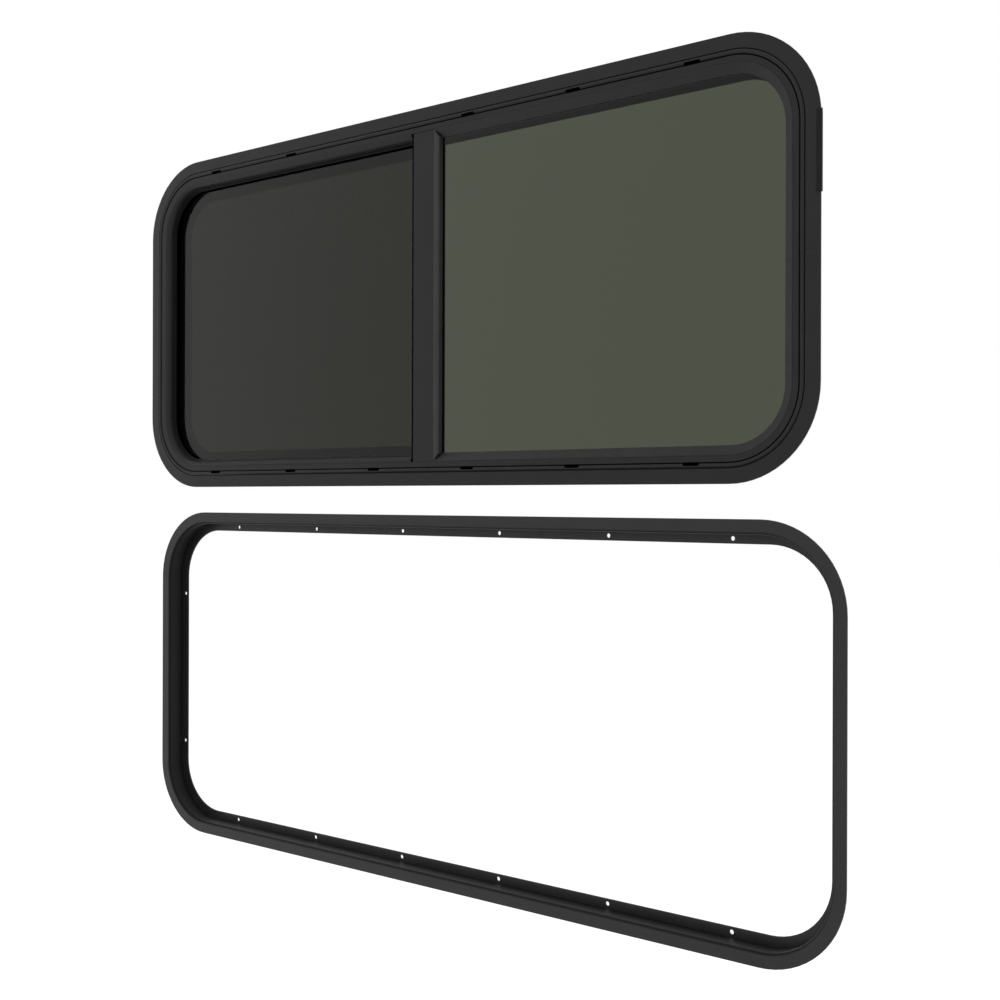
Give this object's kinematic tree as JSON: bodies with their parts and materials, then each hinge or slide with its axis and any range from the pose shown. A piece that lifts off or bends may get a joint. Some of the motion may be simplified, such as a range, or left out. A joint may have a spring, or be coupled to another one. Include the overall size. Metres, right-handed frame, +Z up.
{
  "type": "sliding trailer window",
  "caption": "Black framed trailer window with rounded corners, a fixed pane, a sliding sash behind a mullion, an insect screen and a separate clamp ring with screw holes.",
  "frame": {"origin": "on the back of the flange, in the middle of the sill, where the window rests on the wall's outer skin", "axes": "+Z up, +X to the right as seen from outside, +Y from outside into the trailer"},
  "size_m": [0.9866, 0.0556, 0.8508],
  "materials": {
    "black_paint": "satin black powder coat",
    "ring_paint": "satin black powder coat",
    "screen_paint": "satin black",
    "black_vinyl": "satin",
    "black_rubber": "matte",
    "pile": "woven pile",
    "mesh": "fine fibre mesh",
    "tinted_glass": "tinted, clear"
  },
  "bodies": {
    "frame": {"main_frame": "black_paint", "joint_clip": "black_vinyl", "mullion_bar": "black_paint", "mullion_pile": "pile", "fixed_glass": "tinted_glass", "fixed_glass_seal": "black_rubber", "glazing_bead_perimeter": "black_vinyl", "glazing_bead_mullion": "black_vinyl", "filler_bead": "black_vinyl", "sash_track_head": "black_vinyl", "sash_track_sill": "black_vinyl", "jamb_seal": "black_vinyl", "screen_frame": "screen_paint", "screen_mesh": "mesh", "screen_spline": "black_rubber", "screen_pull_tabs": "black_vinyl", "clamp_ring": "ring_paint"},
    "sash": {"sash_glass": "tinted_glass", "sash_stile": "black_paint", "sash_glide_upper": "black_vinyl", "sash_glide_lower": "black_vinyl", "latch_housing": "black_vinyl", "latch_lever": "black_vinyl"}
  },
  "joints": [
    {"name": "sash_slide", "type": "slide", "parent": "frame", "child": "sash", "axis": [1, 0, 0], "range_m": [0, 0.36]}
  ]
}
